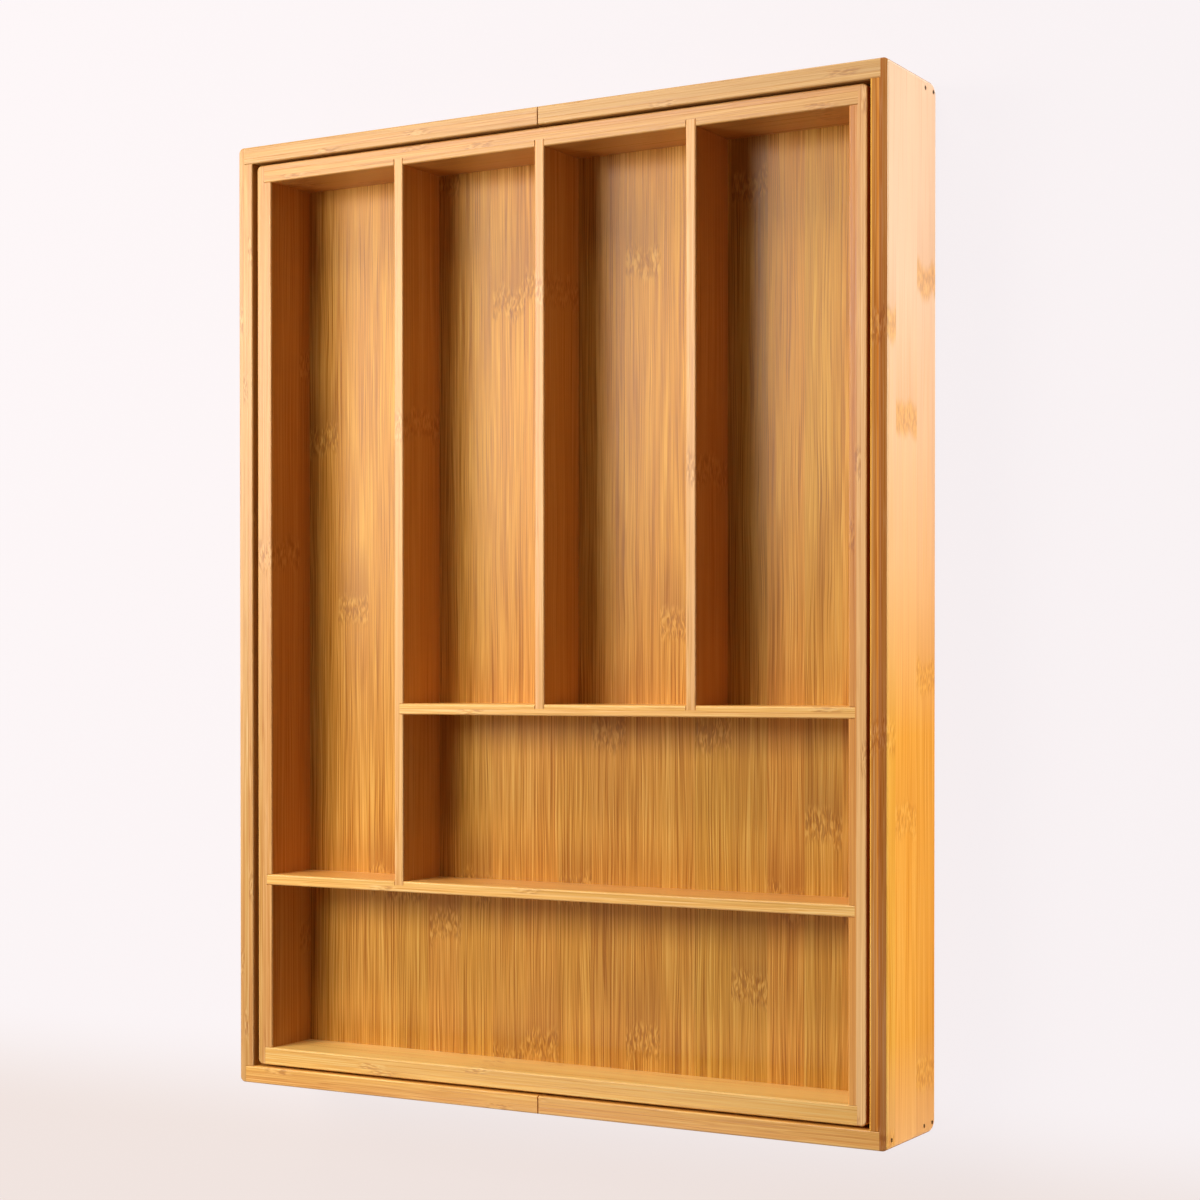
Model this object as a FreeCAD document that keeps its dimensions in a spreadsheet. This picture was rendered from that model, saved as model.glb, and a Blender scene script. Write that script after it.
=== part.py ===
import FreeCAD, Part
import os
import re
import Sketcher

# Expandable cutlery tray: a fixed centre tray between two U-shaped halves that slide outwards.
# X is the width and the way the halves slide, Y the length, Z up out of the compartments.
# The origin is under the middle of the closed tray, on the surface it rests on.

# Driving sizes in millimetres, one row of the sheet each
sizes = {
    "column_width": 69.75,       # clear width of each lengthwise column
    "upper_length": 243.4,       # clear length of the cutlery columns above the upper cross divider
    "middle_width": 75.6,        # clear width of the compartment between the cross dividers
    "front_width": 76.4,         # clear width of the compartment across the front
    "compartment_depth": 29.6,   # centre rim to the top of the centre floor
    "divider": 5.0,              # thickness of every divider
    "centre_wall": 8.3,          # thickness of the centre tray's walls
    "centre_floor": 5.0,         # thickness of the centre floor panel
    "centre_lip": 5.5,           # wall left below the centre floor
    "centre_lap": 4.15,          # part of a centre side wall that laps the end wall
    "outer_wall": 8.0,           # thickness of the sliding halves' walls
    "outer_floor": 4.5,          # thickness of the sliding halves' floor panels
    "outer_lip": 5.75,           # wall left below those floors
    "outer_lap": 3.5,            # part of an outer side wall that laps the end wall
    "rim_drop": 1.4,             # centre rim below the outer rim
    "side_gap": 1.7,             # centre side wall to outer side wall, closed
    "end_gap": 1.0,              # centre end wall to outer end wall
    "slide_clear": 0.25,         # centre walls above the floors they slide on
    "seam_gap": 0.6,             # between the two halves when closed
    "floor_housing": 3.0,        # depth of the grooves that hold the floors
    "wall_housing": 3.0,         # depth of the slots that hold divider ends in the walls
    "divider_housing": 2.0,      # depth of the slots that hold one divider in another
    "rim_round": 0.8,            # easing of the rims
    "corner_round": 2.5,         # rounding of the upright corners and lower side edges
    "end_round": 5.5,            # rounding of the lower edge of both ends
    "runner_height": 6.0,        # runner strip, across its groove
    "runner_length": 45.0,       # runner strip, along its groove
    "runner_setback": 5.0,       # runner strip back from the seam
    "runner_seat": 2.5,          # runner strip let into the outer end wall
    "runner_reach": 3.0,         # runner strip let into the centre groove
    "runner_clear": 0.35,        # room around the strip in the centre groove
    "runner_level": 24.0,        # middle of the strip above the centre wall's lower edge
    "brad_head": 1.8,            # diameter of a brad's head
    "brad_head_height": 0.8,     # height of that head
    "brad_shank": 1.3,           # diameter of a brad's shank
    "brad_length": 20.0,         # whole brad
    "brad_sink": 0.5,            # head below the side face
    "brad_clear": 0.1,           # hole wider and deeper than the brad
    "brad_edge": 0.2,            # lowest brad's head clear of the rounded lower corner
    "brad_rise": 2.75,           # second brad above the top of the floor panel
    "brad_drop": 4.5,            # highest brad below the rim
    "overrun": 3.0,              # every cut runs this far past the wood
}
same_place = 0.0001  # two readings of one place differ by less than this

# Whole sizes and places, worked out from the clear compartments outwards
columns = 4
clear_width = f"({columns} * column_width + {columns - 1} * divider)"
clear_length = "(upper_length + middle_width + front_width + 2 * divider)"
centre_width = f"({clear_width} + 2 * centre_wall)"
centre_length = f"({clear_length} + 2 * centre_wall)"
centre_height = "(centre_lip + centre_floor + compartment_depth)"
centre_base = "(outer_lip + outer_floor + slide_clear)"
floor_top = f"({centre_base} + centre_lip + centre_floor)"
outer_width = f"({centre_width} + 2 * side_gap + 2 * outer_wall)"
outer_length = f"({centre_length} + 2 * end_gap + 2 * outer_wall)"
outer_height = f"({centre_base} + {centre_height} + rim_drop)"
column_pitch = "(column_width + divider)"
lower_cross_y = f"(front_width + divider / 2 - {clear_length} / 2)"
upper_cross_y = f"({lower_cross_y} + divider + middle_width)"
end_length = f"({outer_width} / 2 - outer_lap - seam_gap / 2)"
runner_low = f"({centre_base} + runner_level - runner_height / 2)"
runner_high = f"({runner_low} + runner_height)"

# Which way each side and each end lies along X and Y
sides = {"left": -1, "right": 1}
ends = {"back": 1, "front": -1}

# Brads at the two ends of a side wall, the lowest as far from the end as from the lower edge
brad_inset = "(end_round - (end_round - corner_round - brad_head / 2 - brad_edge) / 2 ^ 0.5)"
lower_brads = [brad_inset, "outer_lip + outer_floor + brad_rise"]
brad_heights = {"back": lower_brads, "front": lower_brads + [f"{outer_height} - brad_drop"]}
brad_hole = "brad_shank + brad_clear"

doc = FreeCAD.newDocument("cutlery_tray")
sheet = doc.addObject("Spreadsheet::Sheet", "dims")
for row, (name, size) in enumerate(sizes.items(), start=1):
    sheet.set(f"A{row}", name)
    sheet.set(f"B{row}", str(size))
    sheet.setAlias(f"B{row}", name)
doc.recompute()
pieces = []


def bound(sizes_sum):
    # the same sum with every name read from the sheet
    return re.sub(r"[a-z_]{2,}", lambda found: "dims." + found.group(0), sizes_sum)


def reading(sizes_sum):
    return float(sheet.evalExpression(bound(sizes_sum)))


def tie(item, setting, sizes_sum):
    item.setExpression(setting, bound(sizes_sum))


def place(item, x, y, z, turn=FreeCAD.Rotation()):
    item.Placement = FreeCAD.Placement(FreeCAD.Vector(), turn)
    tie(item, "Placement.Base.x", x)
    tie(item, "Placement.Base.y", y)
    tie(item, "Placement.Base.z", z)


def upright_turn(degrees):
    return FreeCAD.Rotation(FreeCAD.Vector(0, 0, 1), degrees)


def sketch_on(body, plane_role, title, lift="0"):
    plane = [item for item in body.Origin.OriginFeatures if item.Role == plane_role][0]
    sketch = body.newObject("Sketcher::SketchObject", f"{body.Label}_{title}")
    sketch.AttachmentSupport = [(plane, "")]
    sketch.MapMode = "FlatFace"
    tie(sketch, "AttachmentOffset.Base.z", lift)
    return sketch


def hold(sketch, direction, geometry, point, distance):
    # a point's distance from the sketch's origin
    number = sketch.addConstraint(
        Sketcher.Constraint(direction, -1, 1, geometry, point, reading(distance)))
    tie(sketch, f"Constraints[{number}]", distance)


def rectangle(sketch, x_ends, y_ends):
    left, right = sorted(x_ends, key=reading)
    low, high = sorted(y_ends, key=reading)
    corners = [FreeCAD.Vector(reading(x), reading(y), 0)
               for x, y in ((left, low), (right, low), (right, high), (left, high))]
    first = sketch.GeometryCount
    count = len(corners)
    for step in range(count):
        sketch.addGeometry(Part.LineSegment(corners[step], corners[(step + 1) % count]))
    for step in range(count):
        following = first + (step + 1) % count
        sketch.addConstraint(Sketcher.Constraint("Coincident", first + step, 2, following, 1))
        direction = "Vertical" if step % 2 else "Horizontal"
        sketch.addConstraint(Sketcher.Constraint(direction, first + step))
    hold(sketch, "DistanceX", first, 1, left)
    hold(sketch, "DistanceX", first, 2, right)
    hold(sketch, "DistanceY", first, 1, low)
    hold(sketch, "DistanceY", first + 2, 1, high)


def circle(sketch, x, y, diameter):
    middle = FreeCAD.Vector(reading(x), reading(y), 0)
    number = sketch.addGeometry(Part.Circle(middle, FreeCAD.Vector(0, 0, 1), reading(diameter) / 2))
    hold(sketch, "DistanceX", number, 3, x)
    hold(sketch, "DistanceY", number, 3, y)
    held = sketch.addConstraint(Sketcher.Constraint("Diameter", number, reading(diameter)))
    tie(sketch, f"Constraints[{held}]", diameter)


def plank(label, length, thickness, height):
    # outer face at local y 0, inner face at its thickness, middle of its length at local x 0
    body = doc.addObject("PartDesign::Body", label)
    body.Label = label
    elevation = sketch_on(body, "XZ_Plane", "elevation")
    rectangle(elevation, (f"-{length} / 2", f"{length} / 2"), ("0", height))
    board = body.newObject("PartDesign::Pad", f"{label}_board")
    board.Profile = elevation
    board.Reversed = True
    tie(board, "Length", thickness)
    doc.recompute()
    pieces.append(body)
    return body


def at(edge, axis, where):
    # true where the whole edge lies at one place along x, y or z
    middle = edge.valueAt((edge.FirstParameter + edge.LastParameter) / 2)
    points = [corner.Point for corner in edge.Vertexes] + [middle]
    return all(abs(getattr(point, axis) - where) < same_place for point in points)


def at_ends(edge, length):
    # true for the edges across or up a plank's two ends
    half = reading(length) / 2
    return at(edge, "x", half) or at(edge, "x", -half)


def ease(body, title, radius, picked):
    wood = body.Tip
    edges = [f"Edge{number}" for number, edge in enumerate(wood.Shape.Edges, start=1) if picked(edge)]
    rounding = body.newObject("PartDesign::Fillet", f"{body.Label}_{title}")
    rounding.Base = (wood, edges)
    tie(rounding, "Radius", radius)
    doc.recompute()


def ease_rim(body, length, height):
    # the two long edges of a rim whose ends are let into other wood
    top = reading(height)
    ease(body, "rim", "rim_round", lambda edge: at(edge, "z", top) and not at_ends(edge, length))


def ease_whole_rim(body, height):
    top = reading(height)
    ease(body, "rim", "rim_round", lambda edge: at(edge, "z", top))


def cut(body, title, sketch, depth=None, forward=False):
    # with no depth the cut goes right through, both ways unless it is sent forward
    wood = body.Tip.Shape.Volume
    pocket = body.newObject("PartDesign::Pocket", f"{body.Label}_{title}")
    pocket.Profile = sketch
    pocket.Reversed = forward
    if depth is None:
        pocket.Type = "ThroughAll"
        pocket.SideType = "One side" if forward else "Symmetric"
    else:
        tie(pocket, "Length", depth)
    doc.recompute()
    if pocket.Shape.isNull() or pocket.Shape.Volume >= wood:
        raise ValueError(f"{pocket.Label} cuts nothing")


def cut_rebates(body, length, thickness, lap):
    # both ends of a side wall, to seat the end walls behind its lap
    plan = sketch_on(body, "XY_Plane", "rebate_plan")
    for end in ends.values():
        along = (f"{end} * ({length} / 2 - {thickness})", f"{end} * ({length} / 2 + overrun)")
        rectangle(plan, along, (lap, f"{thickness} + overrun"))
    cut(body, "rebates", plan)


def cut_floor_groove(body, thickness, lip, floor):
    section = sketch_on(body, "YZ_Plane", "groove_section")
    rectangle(section, (f"{thickness} - floor_housing", f"{thickness} + overrun"), (lip, f"{lip} + {floor}"))
    cut(body, "floor_groove", section)


def cut_slots(body, middles, across, lift="0"):
    # slots for divider ends, each as wide as a divider, from the lift upwards
    plan = sketch_on(body, "XY_Plane", "slot_plan", lift)
    for middle in middles:
        rectangle(plan, (f"{middle} - divider / 2", f"{middle} + divider / 2"), across)
    cut(body, "slots", plan, forward=True)


def panel(label, length, width, height, x, y, z):
    board = doc.addObject("Part::Box", label)
    board.Label = label
    tie(board, "Length", length)
    tie(board, "Width", width)
    tie(board, "Height", height)
    place(board, x, y, z)
    pieces.append(board)


def cut_wall_slots(wall, middles):
    cut_slots(wall, middles, ("centre_wall - wall_housing", "centre_wall + overrun"),
              "centre_lip + centre_floor")


def centre_side_wall(side, cross_places):
    sign = sides[side]
    wall = plank(f"centre_{side}_wall", centre_length, "centre_wall", centre_height)
    ease(wall, "corners", "corner_round", lambda edge: at(edge, "y", 0) and at_ends(edge, centre_length))
    ease_whole_rim(wall, centre_height)
    cut_rebates(wall, centre_length, "centre_wall", "centre_lap")
    cut_floor_groove(wall, "centre_wall", "centre_lip", "centre_floor")
    cut_wall_slots(wall, [f"{sign} * {y}" for y in cross_places])
    place(wall, f"{sign} * {centre_width} / 2", "0", centre_base, upright_turn(90 * sign))


def centre_end_wall(end, column_places, degrees):
    length = f"({centre_width} - 2 * centre_lap)"
    wall = plank(f"centre_{end}_wall", length, "centre_wall", centre_height)
    ease_rim(wall, length, centre_height)
    cut_floor_groove(wall, "centre_wall", "centre_lip", "centre_floor")
    # the runner strips slide in this groove, and the side walls' laps close its ends
    way = sketch_on(wall, "YZ_Plane", "runner_section")
    rectangle(way, ("-overrun", "runner_reach + runner_clear"),
              ("runner_level - runner_height / 2 - runner_clear",
               "runner_level + runner_height / 2 + runner_clear"))
    cut(wall, "runner_groove", way)
    if column_places:
        cut_wall_slots(wall, column_places)
    place(wall, "0", f"{ends[end]} * {centre_length} / 2", centre_base, upright_turn(degrees))


def lengthwise_divider(label, x, cross_y, cross_places=()):
    # from a slot in the back wall to a slot in a cross divider
    back = f"({clear_length} / 2 + wall_housing)"
    front = f"({cross_y} + divider / 2 - divider_housing)"
    middle = f"({back} + {front}) / 2"
    length = f"({back} - {front})"
    board = plank(label, length, "divider", "compartment_depth")
    ease_rim(board, length, "compartment_depth")
    if cross_places:
        cut_slots(board, [f"{y} - {middle}" for y in cross_places], ("-overrun", "divider_housing"))
    place(board, f"{x} + divider / 2", middle, floor_top, upright_turn(90))


def cross_divider(label, left, y, column_places):
    # from its left end to a slot in the right wall
    right = f"({clear_width} / 2 + wall_housing)"
    middle = f"({left} + {right}) / 2"
    length = f"({right} - {left})"
    board = plank(label, length, "divider", "compartment_depth")
    ease_rim(board, length, "compartment_depth")
    cut_slots(board, [f"{x} - {middle}" for x in column_places],
              ("divider - divider_housing", "divider + overrun"))
    place(board, middle, f"{y} - divider / 2", floor_top)


def outer_side_wall(side):
    sign = sides[side]
    wall = plank(f"{side}_side_wall", outer_length, "outer_wall", outer_height)
    top = reading(outer_height)
    ease(wall, "lower_ends", "end_round", lambda edge: at(edge, "z", 0) and at_ends(edge, outer_length))
    ease(wall, "outer_edges", "corner_round", lambda edge: at(edge, "y", 0) and not at(edge, "z", top))
    ease_whole_rim(wall, outer_height)
    cut_rebates(wall, outer_length, "outer_wall", "outer_lap")
    cut_floor_groove(wall, "outer_wall", "outer_lip", "outer_floor")
    shanks = sketch_on(wall, "XZ_Plane", "brad_shanks")
    heads = sketch_on(wall, "XZ_Plane", "brad_heads")
    for end in ends:
        along = f"{sign * ends[end]} * ({outer_length} / 2 - {brad_inset})"
        for height in brad_heights[end]:
            circle(shanks, along, height, brad_hole)
            circle(heads, along, height, "brad_head + brad_clear")
    cut(wall, "brad_holes", shanks, "outer_wall")
    cut(wall, "brad_counterbores", heads, "brad_sink + brad_head_height")
    place(wall, f"{sign} * {outer_width} / 2", "0", "0", upright_turn(90 * sign))


def outer_end_wall(side, end, degrees):
    # its corner end meets the side wall's lap, its other end the seam
    corner = -sides[side] * ends[end]
    wall = plank(f"{side}_{end}_wall", end_length, "outer_wall", outer_height)
    ease(wall, "lower_edge", "end_round", lambda edge: at(edge, "z", 0) and at(edge, "y", 0))
    ease_rim(wall, end_length, outer_height)
    cut_floor_groove(wall, "outer_wall", "outer_lip", "outer_floor")
    holes = sketch_on(wall, "YZ_Plane", "brad_ends", f"{corner} * {end_length} / 2")
    for height in brad_heights[end]:
        circle(holes, brad_inset, height, brad_hole)
    cut(wall, "brad_holes", holes, "brad_sink + brad_length + brad_clear - outer_lap", forward=corner < 0)
    seat = sketch_on(wall, "XZ_Plane", "runner_outline", "-outer_wall")
    strip_end = f"{-corner} * ({end_length} / 2 - runner_setback"
    rectangle(seat, (f"{strip_end})", f"{strip_end} - runner_length)"), (runner_low, runner_high))
    cut(wall, "runner_seat", seat, "runner_seat", forward=True)
    place(wall, f"{sides[side]} * (seam_gap / 2 + {end_length} / 2)",
          f"{ends[end]} * {outer_length} / 2", "0", upright_turn(degrees))


def lower_place(sign, near, size):
    # lower end of a box that starts at a distance from the middle and reaches away from it
    return near if sign > 0 else f"-{near} - {size}"


def runner(side, end):
    near_x = "(seam_gap / 2 + runner_setback)"
    near_y = f"({centre_length} / 2 - runner_reach)"
    depth = "(runner_reach + end_gap + runner_seat)"
    panel(f"{side}_{end}_runner", "runner_length", depth, "runner_height",
          lower_place(sides[side], near_x, "runner_length"),
          lower_place(ends[end], near_y, depth), runner_low)


def outer_floor(side):
    width = f"({outer_width} / 2 - outer_wall + floor_housing - seam_gap / 2)"
    length = f"({outer_length} - 2 * outer_wall + 2 * floor_housing)"
    panel(f"{side}_floor", width, length, "outer_floor",
          lower_place(sides[side], "(seam_gap / 2)", width), f"-{length} / 2", "outer_lip")


def brad(label, side, end, height):
    # head at its outer end, shank from there into the end wall's end grain
    shank = doc.addObject("Part::Cylinder", f"{label}_shank")
    tie(shank, "Radius", "brad_shank / 2")
    tie(shank, "Height", "brad_length")
    head = doc.addObject("Part::Cylinder", f"{label}_head")
    tie(head, "Radius", "brad_head / 2")
    tie(head, "Height", "brad_head_height")
    nail = doc.addObject("Part::Fuse", label)
    nail.Base = shank
    nail.Tool = head
    inward = FreeCAD.Rotation(FreeCAD.Vector(0, 0, 1), FreeCAD.Vector(-sides[side], 0, 0))
    place(nail, f"{sides[side]} * ({outer_width} / 2 - brad_sink)",
          f"{ends[end]} * ({outer_length} / 2 - {brad_inset})", height, inward)
    return nail


def corner_brads(side):
    group = doc.addObject("Part::Compound", f"{side}_corner_brads")
    group.Label = f"{side}_corner_brads"
    group.Links = [brad(f"{side}_{end}_brad_{number}", side, end, height)
                   for end in ends for number, height in enumerate(brad_heights[end], start=1)]
    pieces.append(group)


# Centre tray
centre_side_wall("left", [lower_cross_y])
centre_side_wall("right", [lower_cross_y, upper_cross_y])
centre_end_wall("back", [column_pitch, "0", f"-{column_pitch}"], 180)
centre_end_wall("front", [], 0)
panel("centre_floor", f"{clear_width} + 2 * floor_housing", f"{clear_length} + 2 * floor_housing",
      "centre_floor", f"-{clear_width} / 2 - floor_housing", f"-{clear_length} / 2 - floor_housing",
      f"{centre_base} + centre_lip")
lengthwise_divider("long_divider", f"-{column_pitch}", lower_cross_y, [upper_cross_y])
lengthwise_divider("short_divider_middle", "0", upper_cross_y)
lengthwise_divider("short_divider_right", column_pitch, upper_cross_y)
cross_divider("upper_cross_divider", f"(divider / 2 - {column_pitch} - divider_housing)",
              upper_cross_y, ["0", column_pitch])
cross_divider("lower_cross_divider", f"(-{clear_width} / 2 - wall_housing)",
              lower_cross_y, [f"-{column_pitch}"])

# Sliding halves
for side in sides:
    outer_side_wall(side)
    outer_end_wall(side, "back", 180)
    outer_end_wall(side, "front", 0)
    outer_floor(side)
    runner(side, "back")
    runner(side, "front")
    corner_brads(side)

doc.recompute()
for item in doc.Objects:
    if "Invalid" in item.State or "Error" in item.State:
        raise ValueError(f"{item.Label} failed: {item.State}")
for piece in pieces:
    if piece.Shape.isNull() or not piece.Shape.isValid():
        raise ValueError(f"{piece.Label} has no valid shape")

os.makedirs("parts", exist_ok=True)
for piece in pieces:
    piece.Shape.exportStep(f"parts/{piece.Label}.step")
travel = f"{centre_width} / 2 - centre_lap - seam_gap / 2 - runner_setback - runner_length"
print(f"{len(pieces)} pieces, closed {reading(outer_width):.1f} x {reading(outer_length):.1f}"
      f" x {reading(outer_height):.1f}, travel to the stop {reading(travel):.2f}")
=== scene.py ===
import math
from functools import partial
import bmesh
import bpy
from mathutils import Matrix, Vector


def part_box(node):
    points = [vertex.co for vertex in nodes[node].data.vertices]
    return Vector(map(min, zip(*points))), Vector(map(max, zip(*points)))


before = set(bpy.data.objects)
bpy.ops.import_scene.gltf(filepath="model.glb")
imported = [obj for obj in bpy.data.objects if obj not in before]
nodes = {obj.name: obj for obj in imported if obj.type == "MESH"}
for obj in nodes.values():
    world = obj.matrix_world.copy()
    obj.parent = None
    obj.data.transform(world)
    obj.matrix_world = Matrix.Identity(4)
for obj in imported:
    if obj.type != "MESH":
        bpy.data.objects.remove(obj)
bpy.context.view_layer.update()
mmPerMetre = 1000
print("frame loaded:", len(nodes), "boards and brads")


def linear(hexColour):
    # sRGB hex to the linear colour that a socket takes
    channels = [int(hexColour[i:i + 2], 16) / 255 for i in (1, 3, 5)]
    return [c / 12.92 if c <= 0.04045 else ((c + 0.055) / 1.055) ** 2.4 for c in channels] + [1.0]


def addNode(tree, kind, inputs=(), stops=(), steps="LINEAR", **settings):
    # inputs are sockets to link or plain values, by place or by name; stops are a ramp's places and colours
    node = tree.nodes.new("ShaderNode" + kind)
    for name, value in settings.items():
        setattr(node, name, value)
    for key, value in inputs.items() if isinstance(inputs, dict) else enumerate(inputs):
        if isinstance(value, bpy.types.NodeSocket):
            tree.links.new(value, node.inputs[key])
        else:
            node.inputs[key].default_value = value
    if stops:
        node.color_ramp.interpolation = steps
        while len(node.color_ramp.elements) < len(stops):
            node.color_ramp.elements.new(0.5)
        for element, (place, colour) in zip(node.color_ramp.elements, stops):
            element.position = place
            element.color = linear(colour) if isinstance(colour, str) else [colour, colour, colour, 1.0]
    return next((output for output in node.outputs if output.enabled), None)


def newTree(name):
    material = bpy.data.materials.new(name)
    material.use_nodes = True
    material.node_tree.nodes.clear()
    return material, partial(addNode, material.node_tree)


def dress(nodeName, material):
    slots = nodes[nodeName].data.materials
    slots.clear()
    slots.append(material)


def addObject(name, data):
    newObject = bpy.data.objects.new(name, data)
    bpy.context.scene.collection.objects.link(newObject)
    return newObject


def facing(place, towards, up):
    # a turn whose -Z looks along towards, with Y up
    back = -Vector(towards).normalized()
    side = Vector(up).cross(back).normalized()
    turn = Matrix((side, back.cross(side), back)).transposed()
    return Matrix.Translation(place) @ turn.to_4x4()


def seenDirectly(add):
    # 1 for what the eye sees, also in a reflection or through glass, and 0 for light that bounces on
    rays = add("LightPath").node.outputs
    seen = add("Math", [rays["Is Camera Ray"], rays["Is Glossy Ray"]], operation="MAXIMUM")
    return add("Math", [seen, rays["Is Transmission Ray"]], operation="MAXIMUM")


# What all boards share, in millimetres. Streaks are the length along the grain, the width and the detail.
# The lengths of broad streaks and threads, and the pitch of broad streaks, are times those of the fibre.
cane = {
    "ownStart": 61,  # how far apart two lamellas may start in the noise
    "bowStreaks": (400, 6, 0), "bow": 10,  # how far the line of a knuckle wanders
    "knuckleHalf": (3.5, 9.5),  # half the height of a knuckle, full and faded out
    "smearFrom": -7, "smearPeak": 9, "smearTo": 34,  # brown haze that trails off beside it
    "swayStreaks": (60, 9, 1), "sway": 2.4, "kinkStreaks": (6, 1.8, 1), "kink": 2.2,
    "fineDetail": 2, "broadLength": 1.6, "broadPitch": 12, "broadDetail": 1, "broadShare": 0.2,
    "threadLength": 0.6, "threadPitch": 0.5, "threadDetail": 1, "threadFrom": (0.56, 0.72),
    "flameStreaks": (4.5, 0.7, 1),
    "glueLine": (0.06, 0.35), "glueDepth": 0.4, "easedEdge": (0.4, 1.7),
    "toneStops": ((0.34, "dark"), (0.455, "mid"), (0.545, "honey"), (0.66, "pale")),
    "flameStops": ((0.40, "knuckleDark"), (0.52, "mid"), (0.62, "pale")),
    "hueTurn": (0.495, 0.505), "reliefMetres": 0.0003,
    "roughFrom": (0.3, 0.7), "roughSpread": 0.14, "lacquerIor": 1.48,
}


# Laminated bamboo, planed, eased at the edges and lacquered satin. Every lamella is a long strip
# with its own tone; the eye sees fine straight fibres, a band of short flame-like marks where the
# cane had a knuckle, thin glue lines, and edges sanded paler.
def laminatedBamboo(nodeName, board, grain, seed):
    low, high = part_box(nodeName)
    size = dict(zip("XYZ", (high - low) * mmPerMetre))  # millimetres from here on
    middle = dict(zip("XYZ", (high + low) / 2 * mmPerMetre))
    through, across = sorted((axis for axis in "XYZ" if axis != grain), key=size.get)
    strip, ply = board["strip"], size[through] / board["plies"]
    strips = round(size[across] / strip)
    material, add = newTree("laminatedBamboo." + nodeName)
    spot = add("TexCoord").node.outputs["Object"]
    mm = add("VectorMath", {0: spot, "Scale": mmPerMetre}, operation="SCALE")
    axes = add("SeparateXYZ", [mm]).node.outputs

    # which lamella this is, with chances and a start of its own
    firstStrip = strips / 2 - middle[across] / strip + board["stripShift"]
    stripAt = add("Math", [axes[across], 1 / strip, firstStrip], operation="MULTIPLY_ADD")
    firstPly = board["plies"] / 2 - middle[through] / ply
    plyAt = add("Math", [axes[through], 1 / ply, firstPly], operation="MULTIPLY_ADD")
    stripNumber = add("Math", [stripAt], operation="FLOOR")
    plyNumber = add("Math", [plyAt], operation="FLOOR")
    number = add("CombineXYZ", [stripNumber, plyNumber, seed])
    lamella = add("TexWhiteNoise", [number]).node.outputs["Color"]
    chance = add("SeparateColor", [lamella]).node.outputs
    start = add("VectorMath", {0: lamella, "Scale": cane["ownStart"]}, operation="SCALE")

    # noise drawn out along the grain
    def streaks(source, length, pitch, detail):
        reach = {grain: length, across: pitch, through: pitch}
        squeeze = [1 / reach[axis] for axis in "XYZ"]
        spread = add("Mapping", {"Vector": source, "Location": start, "Scale": squeeze})
        return add("TexNoise", {"Vector": spread, "Scale": 1, "Detail": detail})

    # knuckles: one to an internode of each strip, at a chance place or where the list puts it
    internode = board["internode"]
    turn = chance[0]
    places = board["knuckleAt"].get(nodeName)
    if places:
        stops = [(n / strips, (0.5 - at / internode) % 1) for n, at in enumerate(places)]
        stripShare = add("Math", [stripAt, 1 / strips], operation="MULTIPLY")
        turn = add("ValToRGB", [stripShare], stops, "CONSTANT")
    cycle = add("Math", [axes[grain], 1 / internode, turn], operation="MULTIPLY_ADD")
    cycle = add("Math", [cycle], operation="FRACT")
    bow = streaks(mm, *cane["bowStreaks"])
    bow = add("Math", [bow, cane["bow"], -cane["bow"] / 2 - internode / 2], operation="MULTIPLY_ADD")
    fromKnuckle = add("Math", [cycle, internode, bow], operation="MULTIPLY_ADD")
    knuckle = add("Math", [fromKnuckle], operation="ABSOLUTE")
    knuckle = add("MapRange", [knuckle, *cane["knuckleHalf"], 1, 0], interpolation_type="SMOOTHSTEP")
    rising = add("MapRange", [fromKnuckle, cane["smearFrom"], cane["smearPeak"], 0, 1])
    falling = add("MapRange", [fromKnuckle, cane["smearPeak"], cane["smearTo"], 1, 0])
    smear = add("Math", [rising, falling], operation="MULTIPLY")

    # fibres wander a little, and are pushed about at the knuckle
    sway = streaks(mm, *cane["swayStreaks"])
    sway = add("Math", [sway, cane["sway"], -cane["sway"] / 2], operation="MULTIPLY_ADD")
    kink = streaks(mm, *cane["kinkStreaks"])
    kink = add("Math", [kink, cane["kink"], -cane["kink"] / 2], operation="MULTIPLY_ADD")
    push = add("Math", [kink, knuckle, sway], operation="MULTIPLY_ADD")
    swayed = add("VectorMath", [mm, add("CombineXYZ", {across: push})], operation="ADD")
    fibreLength, fibrePitch = board["fibreLength"], board["fibrePitch"]
    fine = streaks(swayed, fibreLength, fibrePitch, cane["fineDetail"])
    broad = streaks(swayed, fibreLength * cane["broadLength"], fibrePitch * cane["broadPitch"],
                    cane["broadDetail"])
    fineShare = add("Math", [fine, 1 - cane["broadShare"]], operation="MULTIPLY")
    fibre = add("Math", [broad, cane["broadShare"], fineShare], operation="MULTIPLY_ADD")
    thread = streaks(swayed, fibreLength * cane["threadLength"], cane["threadPitch"], cane["threadDetail"])
    flames = streaks(swayed, *cane["flameStreaks"])

    # glue lines and eased edges, by millimetres from each
    def lineAt(at, pitch):
        fromMiddle = add("Math", [add("Math", [at], operation="FRACT"), 0.5], operation="SUBTRACT")
        fromMiddle = add("Math", [fromMiddle], operation="ABSOLUTE")
        inside = add("Math", [fromMiddle, -pitch, pitch / 2], operation="MULTIPLY_ADD")
        return add("MapRange", [inside, *cane["glueLine"], 1, 0])

    def toSide(axis):
        fromMiddle = add("Math", [axes[axis], middle[axis]], operation="SUBTRACT")
        fromMiddle = add("Math", [fromMiddle], operation="ABSOLUTE")
        return add("Math", [size[axis] / 2, fromMiddle], operation="SUBTRACT")

    glue = add("Math", [lineAt(stripAt, strip), lineAt(plyAt, ply)], operation="MAXIMUM")
    edge = add("Math", [toSide(across), toSide(through)], operation="MAXIMUM")
    edge = add("MapRange", [edge, *cane["easedEdge"], 1, 0], interpolation_type="SMOOTHSTEP")

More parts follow.
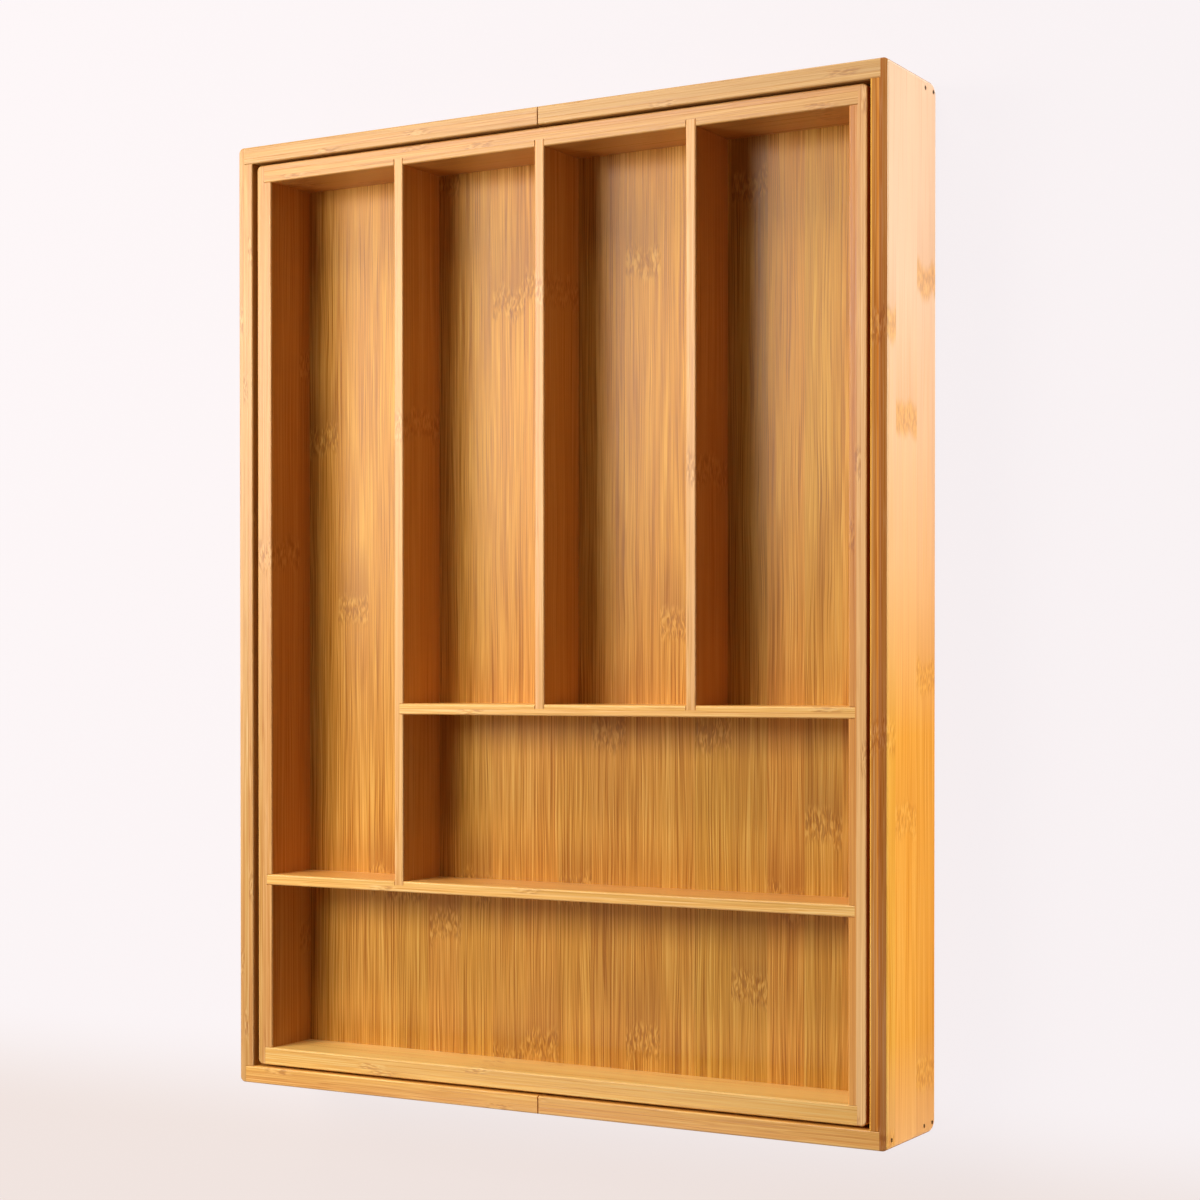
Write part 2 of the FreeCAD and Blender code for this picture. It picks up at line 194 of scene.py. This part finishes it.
    # colour, from the fibres outwards
    tone = add("ValToRGB", [fibre], [(place, board[shade]) for place, shade in cane["toneStops"]])
    tone = add("HueSaturation", {
        "Color": tone, "Hue": add("MapRange", [chance[1], 0, 1, *cane["hueTurn"]]),
        "Value": add("MapRange", [chance[2], 0, 1, board["lamellaLow"], board["lamellaHigh"]])})
    flame = add("ValToRGB", [flames], [(place, board[shade]) for place, shade in cane["flameStops"]])
    layers = []
    if board["paintedLight"]:  # painted light: paler by its share of the way along the grain, in the outer plies only
        along = add("Math", [axes[grain], 1 / size[grain], 0.5 - middle[grain] / size[grain]],
                    operation="MULTIPLY_ADD")
        skin = add("Math", [plyAt, board["paintedLightFromPly"] * board["plies"]], operation="GREATER_THAN")
        share = add("Math", [add("ValToRGB", [along], board["paintedLight"]), skin], operation="MULTIPLY")
        layers.append((share, linear(board["paintedLightColour"])))
    layers += [
        (add("MapRange", [thread, *cane["threadFrom"], 0, board["threads"]]), linear(board["dark"])),
        (add("Math", [smear, board["smear"]], operation="MULTIPLY"), linear(board["knuckleDark"])),
        (add("Math", [knuckle, board["knuckles"]], operation="MULTIPLY"), flame),
        (add("Math", [glue, board["glue"]], operation="MULTIPLY"), linear(board["dark"])),
        (add("Math", [edge, board["easing"]], operation="MULTIPLY"), linear(board["pale"])),
    ]
    for share, over in layers:
        tone = add("Mix", {"Factor": share, "A": tone, "B": over}, data_type="RGBA")
    if board["plyStripesAndPaintedLight"]:  # plies that show as stripes along the rim, and painted shade and light: darker faces in the sliding gaps, a paler inner face on the front wall
        plyShare = add("Math", [plyAt, 1 / board["plies"]], operation="MULTIPLY")
        tint = add("ValToRGB", [plyShare], board["plyStripesAndPaintedLight"])
        tone = add("Mix", {"Factor": 1, "A": tone, "B": tint}, data_type="RGBA", blend_type="MULTIPLY")

    relief = add("Math", [glue, -cane["glueDepth"], fibre], operation="MULTIPLY_ADD")
    relief = add("Math", [knuckle, flames, relief], operation="MULTIPLY_ADD")
    bump = add("Bump", {"Height": relief, "Strength": board["relief"], "Distance": cane["reliefMetres"]})
    roughest = board["smooth"] + cane["roughSpread"]
    rough = add("MapRange", [fibre, *cane["roughFrom"], board["smooth"], roughest])
    lacquer = add("BsdfPrincipled", {"Base Color": tone, "Roughness": rough, "Normal": bump,
                                     "IOR": cane["lacquerIor"], "Specular IOR Level": board["gloss"]})
    add("OutputMaterial", [lacquer])
    dress(nodeName, material)


def lacquerBoards(group):
    # every board with its grain's axis, and a seed of its own
    for step, (nodeName, grain) in enumerate(group["boards"].items()):
        laminatedBamboo(nodeName, group, grain, group["seed"] + step)


# walls of the fixed centre tray
centreWalls = {
    "boards": {"centre_left_wall": "Y", "centre_back_wall": "X"}, "seed": 3.1,
    "strip": 22, "stripShift": 0.06, "plies": 3, "internode": 270,
    "knuckleAt": {"centre_left_wall": (118, 29)},
    "fibreLength": 110, "fibrePitch": 0.5,
    "dark": "#B87833", "mid": "#CA9048", "honey": "#D49D56", "pale": "#E0B173", "knuckleDark": "#995C26",
    "lamellaLow": 0.93, "lamellaHigh": 1.04, "threads": 0.4, "smear": 0.12, "knuckles": 0.6,
    "glue": 0.3, "easing": 0.18, "paintedLight": (), "plyStripesAndPaintedLight": (),
    "relief": 0.2, "smooth": 0.26, "gloss": 0.4,
}
lacquerBoards(centreWalls)

# painted light: a paler board at the front, palest on its inner face, which faces the back of the tray
paintedLightFrontWall = dict(
    centreWalls, boards={"centre_front_wall": "X"}, seed=5.1,
    dark="#E2B05C", mid="#F8CD75", honey="#FFDA88", pale="#FFEDA8", knuckleDark="#BF8A48",
    plyStripesAndPaintedLight=((0.0, "#ECD8C1"), (0.965, "#ECD8C1"), (0.99, "#FFFFFF")))
lacquerBoards(paintedLightFrontWall)

# its right wall shows three plies along the rim; painted light makes it paler towards the front, and
# painted shade darkens its face in the sliding gap
centreRightWall = dict(
    centreWalls, boards={"centre_right_wall": "Y"}, seed=9.2,
    dark="#C2833C", mid="#D59B52", honey="#DFA962", pale="#EBBE80", knuckleDark="#A2642C",
    paintedLight=((0.0, 0.7), (0.7, 0.0)), paintedLightFromPly=0, paintedLightColour="#FFD496",
    plyStripesAndPaintedLight=((0.0, "#EACC94"), (0.42, "#EACC94"), (0.46, "#FFFFFF"),
              (0.97, "#FFFFFF"), (0.985, "#C9A080")))
lacquerBoards(centreRightWall)
print("centre walls lacquered")

# thin dividers, two plies each, with the place of each one's knuckle
dividers = dict(
    centreWalls, seed=21.7,
    boards={"long_divider": "Y", "short_divider_middle": "Y", "short_divider_right": "Y"},
    knuckleAt={"long_divider": (85,), "short_divider_middle": (141,), "short_divider_right": (59,)},
    strip=45, stripShift=0.0, plies=2, internode=260, smear=0.1,
    dark="#C4853F", mid="#D79D56", honey="#E2AC68", pale="#EEC087", knuckleDark="#A4652E")
lacquerBoards(dividers)

# the two that cross the tray are a little paler
crossDividers = dict(
    dividers, boards={"upper_cross_divider": "X", "lower_cross_divider": "X"}, seed=24.7,
    dark="#CF913B", mid="#E4AC56", honey="#F0BB69", pale="#F8D08A", knuckleDark="#AE6F2F")
lacquerBoards(crossDividers)
print("dividers lacquered")

# flat-pressed floor of the centre tray, darker and more streaked; knuckle places from left to right
centreFloor = {
    "boards": {"centre_floor": "Y"}, "seed": 5.0,
    "strip": 17.5, "stripShift": 0.0, "plies": 1, "internode": 345,
    "knuckleAt": {"centre_floor": (84, 3, -125, -125, -144, -125, 141, -195, -125,
                                   -54, 154, -6, -54, -163, -125, -93, -125)},
    "fibreLength": 65, "fibrePitch": 0.5,
    "dark": "#A16720", "mid": "#C48933", "honey": "#D79F44", "pale": "#E8B85F", "knuckleDark": "#8D5820",
    "lamellaLow": 0.93, "lamellaHigh": 1.04, "threads": 0.4, "smear": 0.36, "knuckles": 0.55,
    "glue": 0.15, "easing": 0.0, "paintedLight": (), "plyStripesAndPaintedLight": (),
    "relief": 0.2, "smooth": 0.24, "gloss": 0.2,
}
lacquerBoards(centreFloor)

# floors of the sliding halves, under the centre tray
outerFloors = dict(centreFloor, boards={"left_floor": "Y", "right_floor": "Y"}, seed=41.3, stripShift=0.2)
lacquerBoards(outerFloors)
print("floors lacquered")

# walls of the sliding halves
outerWalls = dict(
    centreWalls, boards={"left_side_wall": "Y", "left_back_wall": "X", "right_back_wall": "X"}, seed=60.9,
    strip=26, stripShift=-0.1, internode=300,
    dark="#B67C39", mid="#C8944E", honey="#D1A15D", pale="#DDB47A", knuckleDark="#985F2A")
lacquerBoards(outerWalls)

# their front boards are a little paler
outerFrontWalls = dict(
    outerWalls, boards={"left_front_wall": "X", "right_front_wall": "X"}, seed=65.9,
    dark="#CA8737", mid="#DEA04B", honey="#E8AF5A", pale="#F4C476", knuckleDark="#A96828")
lacquerBoards(outerFrontWalls)

# the right half's side wall has browner plies under a pale skin of three strips; a painted sheen makes the
# skin paler towards the back and a little at the front end, and painted shade darkens its inner face in the
# sliding gap
rightSideWall = dict(
    outerWalls, boards={"right_side_wall": "Y"}, seed=71.4, knuckleAt={"right_side_wall": (136, 78, -53)},
    strip=22, stripShift=2 / 11, internode=165, knuckles=0.5, threads=0.28, smooth=0.45, gloss=0.05,
    dark="#D48A22", mid="#EAA83E", honey="#F2B64F", pale="#FBCA6C", knuckleDark="#B26C2A",
    paintedLight=((0.0, 0.25), (0.1, 0.0), (0.38, 0.0), (0.55, 0.42), (0.80, 0.85)), paintedLightFromPly=0.94,
    paintedLightColour="#FFEBD9",
    plyStripesAndPaintedLight=((0.0, "#C9A080"), (0.015, "#C9A080"), (0.03, "#FFFFFF"), (0.08, "#FFFFFF"),
              (0.11, "#D8C6F2"), (0.38, "#D8C6F2"), (0.41, "#F0DCE6"), (0.47, "#F0DCE6"),
              (0.51, "#C0A8CC"), (0.93, "#C0A8CC"), (0.94, "#FFFFFF")))
lacquerBoards(rightSideWall)
print("outer walls lacquered")

# runner strips, bare and unlacquered, so rougher
runners = dict(
    dividers, boards={"left_back_runner": "X", "left_front_runner": "X",
                      "right_back_runner": "X", "right_front_runner": "X"},
    seed=80.2, plies=1, smooth=0.62, gloss=0.3)
lacquerBoards(runners)
print("runner strips done")

# Drawn steel wire, cut and headed: dull grey with brown specks where it has tarnished in the hole.
brads = {"nodes": ["left_corner_brads", "right_corner_brads"], "steel": "#6E665C", "tarnish": "#3B2A1C",
         "speckMm": 0.4, "speckDetail": 3, "speckFrom": 0.4, "speckTo": 0.6,
         "roughness": (0.55, 0.35), "relief": 0.2, "reliefMetres": 0.0001}
steel, add = newTree("drawnSteelWire")
speck = add("TexNoise", {"Vector": add("TexCoord").node.outputs["Object"],
                         "Scale": mmPerMetre / brads["speckMm"], "Detail": brads["speckDetail"]})
wireTone = add("ValToRGB", [speck], [
    (brads["speckFrom"], brads["tarnish"]), (brads["speckTo"], brads["steel"])])
dents = add("Bump", {"Height": speck, "Strength": brads["relief"], "Distance": brads["reliefMetres"]})
wire = add("BsdfPrincipled", {
    "Base Color": wireTone, "Metallic": 1.0,
    "Roughness": add("MapRange", [speck, 0, 1, *brads["roughness"]]), "Normal": dents})
add("OutputMaterial", [wire])
for nodeName in brads["nodes"]:
    dress(nodeName, steel)
print("brads done")

# Matt studio paper: seen nearly white, with painted shade that makes it a little darker and pinker in front
# of the tray, and a faint shadow kept near the tray.
floor = {"side": 8.0, "under": -0.0003, "colour": "#FAF4F6", "front": "#F0E4E0",
         "frontFrom": (-0.20, -0.26), "nearReach": (0.5, 0.9), "shadowShare": 0.06}
floorMesh = bpy.data.meshes.new("studioFloor")
floorBuild = bmesh.new()
bmesh.ops.create_grid(floorBuild, x_segments=1, y_segments=1, size=floor["side"] / 2,
                      matrix=Matrix.Translation((0, 0, floor["under"])))
floorBuild.to_mesh(floorMesh)
floorBuild.free()
floorObject = addObject("studioFloor", floorMesh)
paper, add = newTree("paleStudioPaper")
spot = add("TexCoord").node.outputs["Object"]
where = add("SeparateXYZ", [spot]).node.outputs
away = add("VectorMath", [spot], operation="LENGTH")
near = add("MapRange", [away, *floor["nearReach"], 1, 0], interpolation_type="SMOOTHSTEP")
# painted shade: the paper darkens towards the front, fading out away from the tray
front = add("MapRange", [where["Y"], *floor["frontFrom"], 0, near], interpolation_type="SMOOTHSTEP")
paperTone = add("Mix", {"Factor": front, "A": linear(floor["colour"]), "B": linear(floor["front"])},
                data_type="RGBA")
plain = add("Math", [near, -floor["shadowShare"], 1], operation="MULTIPLY_ADD")
share = add("Math", [seenDirectly(add), plain], operation="MULTIPLY")
lit, glow = add("BsdfDiffuse", [paperTone]), add("Emission", [paperTone])
add("OutputMaterial", [add("MixShader", [share, lit, glow])])
floorMesh.materials.append(paper)

# dim room light, and the same pale tone behind everything
room = {"light": "#FFF6EC", "strength": 0.05}
world = bpy.data.worlds.new("room")
world.use_nodes = True
world.node_tree.nodes.clear()
bpy.context.scene.world = world
add = partial(addNode, world.node_tree)
dim = add("Background", {"Color": linear(room["light"]), "Strength": room["strength"]})
behind = add("Background", {"Color": linear(floor["colour"]), "Strength": 1})
add("OutputWorld", [add("MixShader", [seenDirectly(add), dim, behind])])

# Soft boxes: a large one over the left side, weak ones behind and in front, and one on the right
# that lights the right face from lower than the rim.
lamps = {
    "leftSoftBox": {"place": (-0.55, 0.26, 0.84), "at": (0.0, 0.03, 0.03), "up": (-0.35, 0.94, 0.0),
                    "wide": 0.70, "high": 0.40, "spread": 180, "watts": 10.2, "colour": "#FFF6EA"},
    "backSoftBox": {"place": (-0.25, 1.40, 0.70), "at": (0.0, -0.1, 0.04), "up": (0.0, 0.0, 1.0),
                    "wide": 0.60, "high": 0.60, "spread": 180, "watts": 12.0, "colour": "#FFF6EA"},
    "frontSoftBox": {"place": (-0.45, -0.55, 0.80), "at": (0.0, 0.0, 0.03), "up": (0.0, 1.0, 0.0),
                     "wide": 0.30, "high": 0.30, "spread": 180, "watts": 2.1, "colour": "#FFF6EA"},
    "rightSoftBox": {"place": (2.20, 0.0, 0.028), "at": (0.165, 0.0, 0.028), "up": (0.0, 0.0, 1.0),
                     "wide": 0.80, "high": 0.044, "spread": 40, "watts": 2.2, "colour": "#FFFAF2"},
}
for lampName, lamp in lamps.items():
    light = bpy.data.lights.new(lampName, "AREA")
    light.shape = "RECTANGLE"
    light.size = lamp["wide"]
    light.size_y = lamp["high"]
    light.spread = math.radians(lamp["spread"])
    light.energy = lamp["watts"]
    light.color = linear(lamp["colour"])[:3]
    lampObject = addObject(lampName, light)
    lampObject.matrix_world = facing(lamp["place"], Vector(lamp["at"]) - Vector(lamp["place"]), lamp["up"])
    lampObject.visible_camera = False
print("floor, room and soft boxes set")

# camera over the right side, looking down into the compartments with the back of the tray up
eye = {"place": (0.53588, -0.02793, 0.92486), "towards": (-0.50031, -0.01002, -0.86579),
       "up": (-0.00487, 0.99995, -0.00876), "lens": 70.314, "shiftY": 0.0822}
camera = bpy.data.cameras.new("eye")
camera.lens = eye["lens"]
camera.shift_y = eye["shiftY"]
cameraObject = addObject("eye", camera)
cameraObject.matrix_world = facing(eye["place"], eye["towards"], eye["up"])
bpy.context.scene.camera = cameraObject
bpy.context.scene.view_settings.view_transform = "Standard"
print("camera set")
